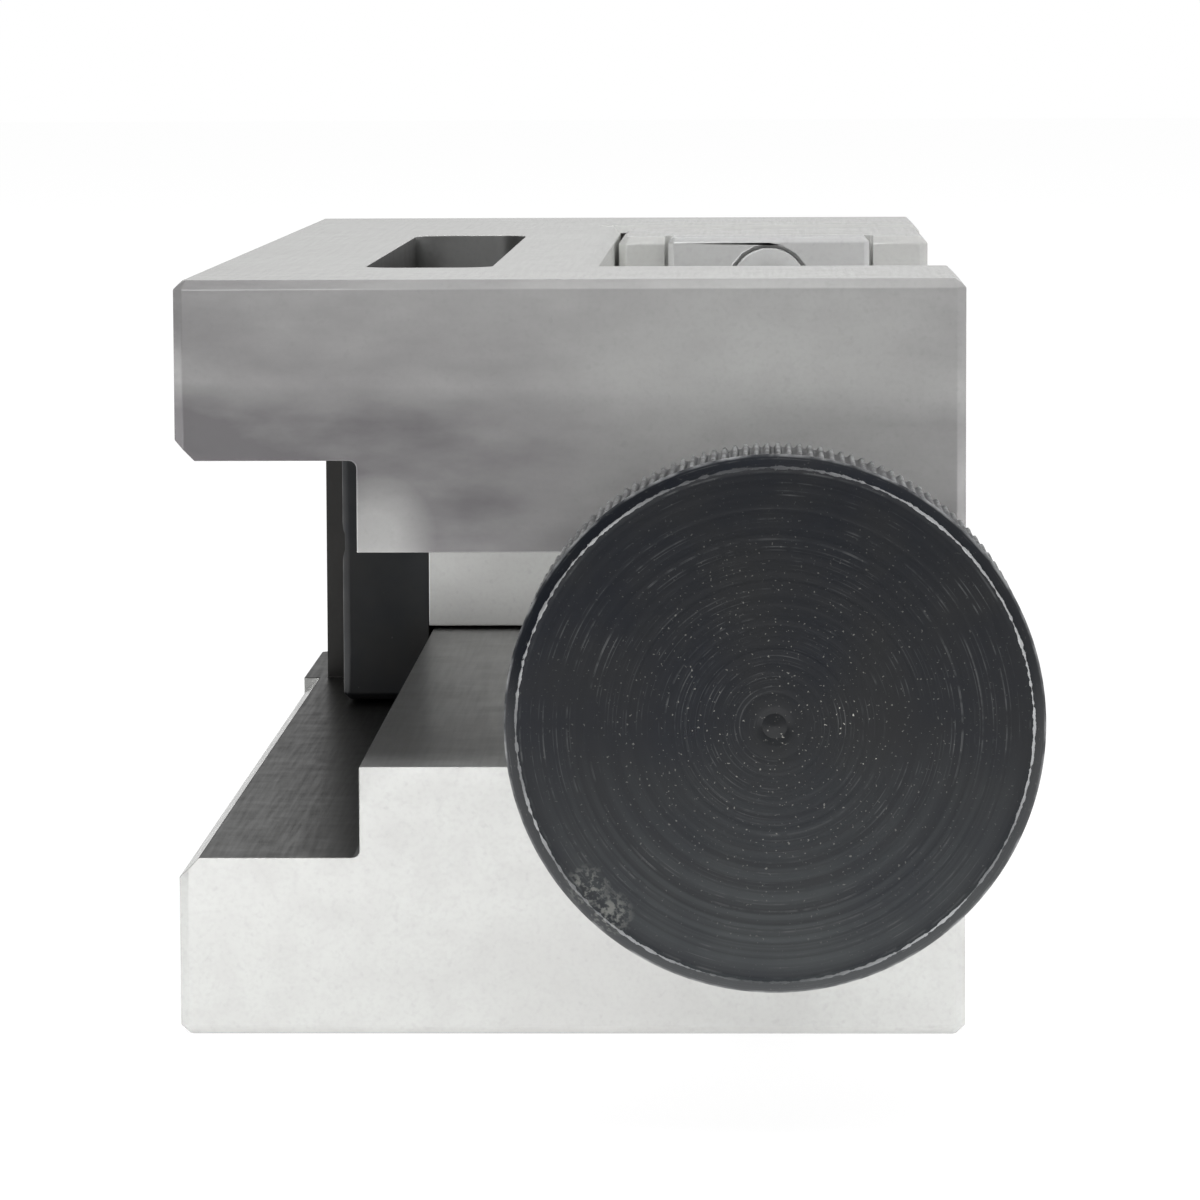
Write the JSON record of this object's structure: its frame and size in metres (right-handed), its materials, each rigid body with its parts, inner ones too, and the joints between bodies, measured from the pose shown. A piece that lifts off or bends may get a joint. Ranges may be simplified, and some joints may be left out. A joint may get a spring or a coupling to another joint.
{
  "type": "precision vise",
  "caption": "Small ground-steel precision vise with a keyed moving jaw driven by a screw with a knurled black knob, lying on its flank.",
  "frame": {"origin": "on the resting flank, in line with the clamping face of the fixed jaw, halfway between the feet of the base and the bed", "axes": "+X from the feet to the jaw tops, +Y from the knob to the fixed jaw, +Z from the resting flank up"},
  "size_m": [0.0554, 0.1645, 0.05],
  "materials": {
    "ground_steel": "fine ground",
    "hardened_steel": "fine ground",
    "turned_steel": "turned thread",
    "black_oxide": "black oxide",
    "bronze": "turned"
  },
  "bodies": {
    "vise_body": {"body": "ground_steel", "screw_nut": "bronze", "nut_lock_screw": "black_oxide"},
    "jaw": {"moving_jaw": "ground_steel", "keeper_plate": "black_oxide", "keeper_screw_1": "black_oxide", "keeper_screw_2": "black_oxide", "retainer_upper": "hardened_steel", "retainer_lower": "hardened_steel", "retainer_screw_1": "hardened_steel", "retainer_screw_2": "hardened_steel", "retainer_screw_3": "hardened_steel", "retainer_screw_4": "hardened_steel", "thrust_pad": "hardened_steel"},
    "screw": {"lead_screw": "turned_steel", "knob": "black_oxide", "knob_pin": "hardened_steel"}
  },
  "joints": [
    {"name": "jaw_slide", "type": "slide", "parent": "vise_body", "child": "jaw", "axis": [0, -1, 0], "range_m": [-0.0017, 0.0595]},
    {"name": "screw_turn", "type": "hinge", "parent": "jaw", "child": "screw", "pos_m": [0.0258, -0.085, 0.025], "axis": [0, -1, 0], "range_deg": [-360, 12250]}
  ],
  "couplings": [
    {"joint": "screw_turn", "follows": "jaw_slide", "rad_per_m": 3590.4}
  ]
}
